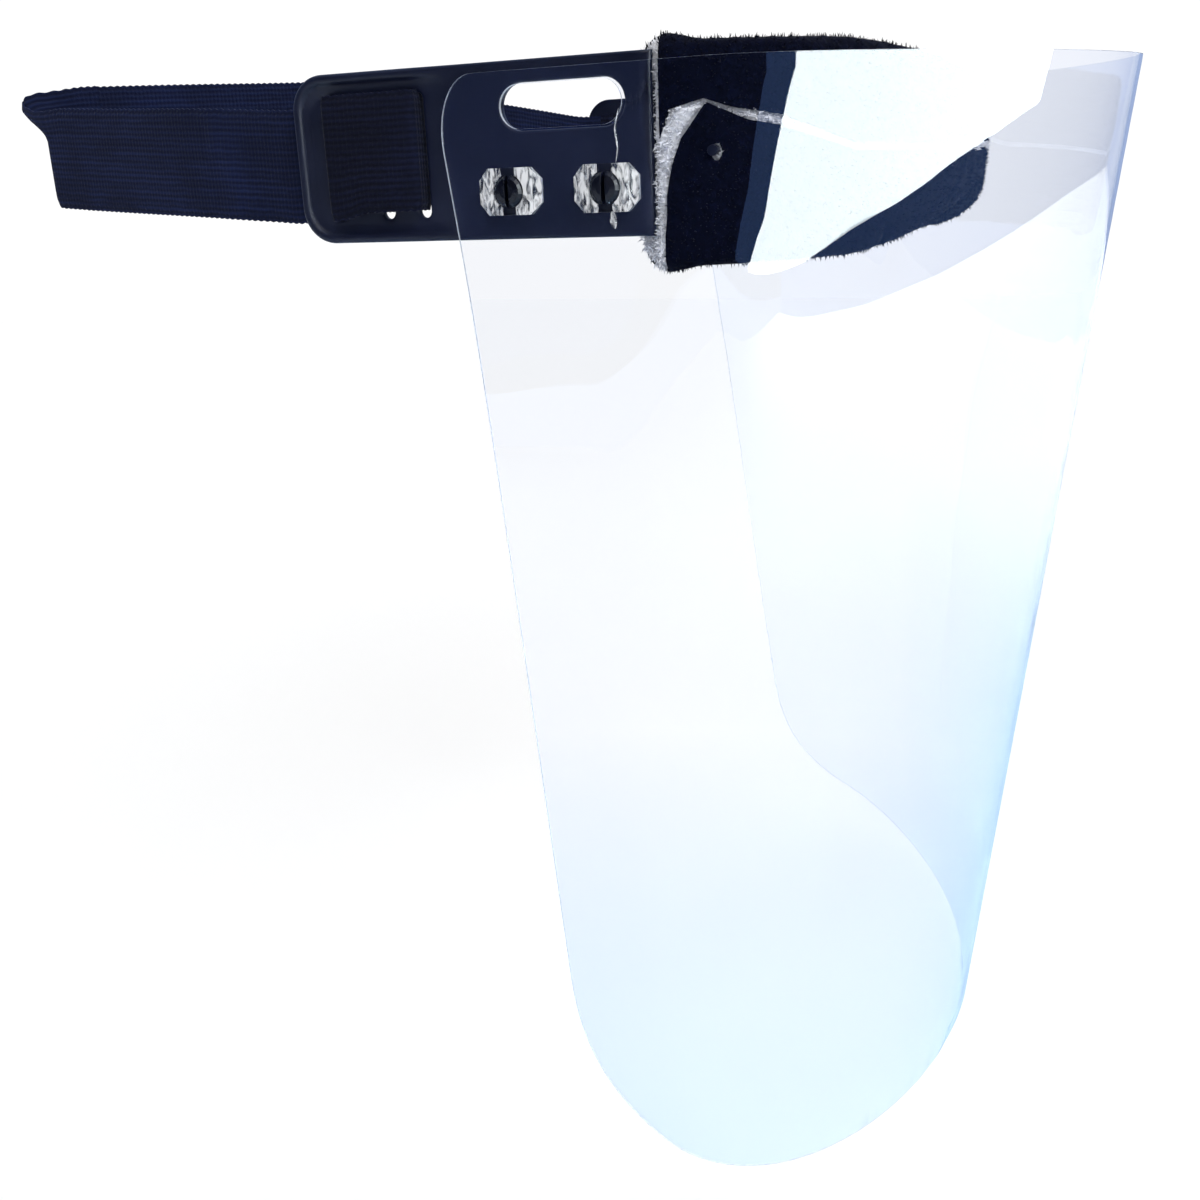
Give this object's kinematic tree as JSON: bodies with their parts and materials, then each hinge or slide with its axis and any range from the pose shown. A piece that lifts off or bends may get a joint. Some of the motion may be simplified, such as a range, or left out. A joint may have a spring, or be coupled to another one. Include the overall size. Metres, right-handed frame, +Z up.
{
  "type": "face shield",
  "caption": "Clear wrap-round visor snapped onto the side plates of a padded brow band, closed behind the head by a ribbed elastic strap.",
  "frame": {"origin": "the middle of the brow pad's inner face, where it meets the wearer's forehead", "axes": "the wearer faces -Y, +Z is up, -X is the wearer's right-hand side"},
  "size_m": [0.1884, 0.2392, 0.243],
  "materials": {
    "clear_sheet": "clear polished plastic sheet with a faint blue tint",
    "black_plastic": "satin moulded black",
    "stud_plastic": "satin moulded black",
    "black_fleece": "brushed black fleece",
    "white_pile": "white looped pile",
    "ribbed_elastic": "ribbed woven elastic"
  },
  "bodies": {
    "shield": {"visor": "clear_sheet", "front_band": "black_plastic", "right_side_plate": "black_plastic", "left_side_plate": "black_plastic", "right_rear_stud": "stud_plastic", "left_rear_stud": "stud_plastic", "right_front_stud": "stud_plastic", "left_front_stud": "stud_plastic", "brow_pad_cover": "black_fleece", "brow_pad_lining": "white_pile", "right_strap_over_bars": "ribbed_elastic", "left_strap_over_bars": "ribbed_elastic", "right_strap_tail": "ribbed_elastic", "left_strap_tail": "ribbed_elastic", "right_strap_run": "ribbed_elastic", "left_strap_run": "ribbed_elastic"},
    "strap_rear": {"strap_rear_bend": "ribbed_elastic"}
  },
  "joints": [
    {"name": "strap_stretch", "type": "slide", "parent": "shield", "child": "strap_rear", "axis": [0, 1, 0], "range_m": [0, 0.06], "stiffness_N_per_m": 60, "deforming": ["right_strap_run", "left_strap_run"]}
  ]
}
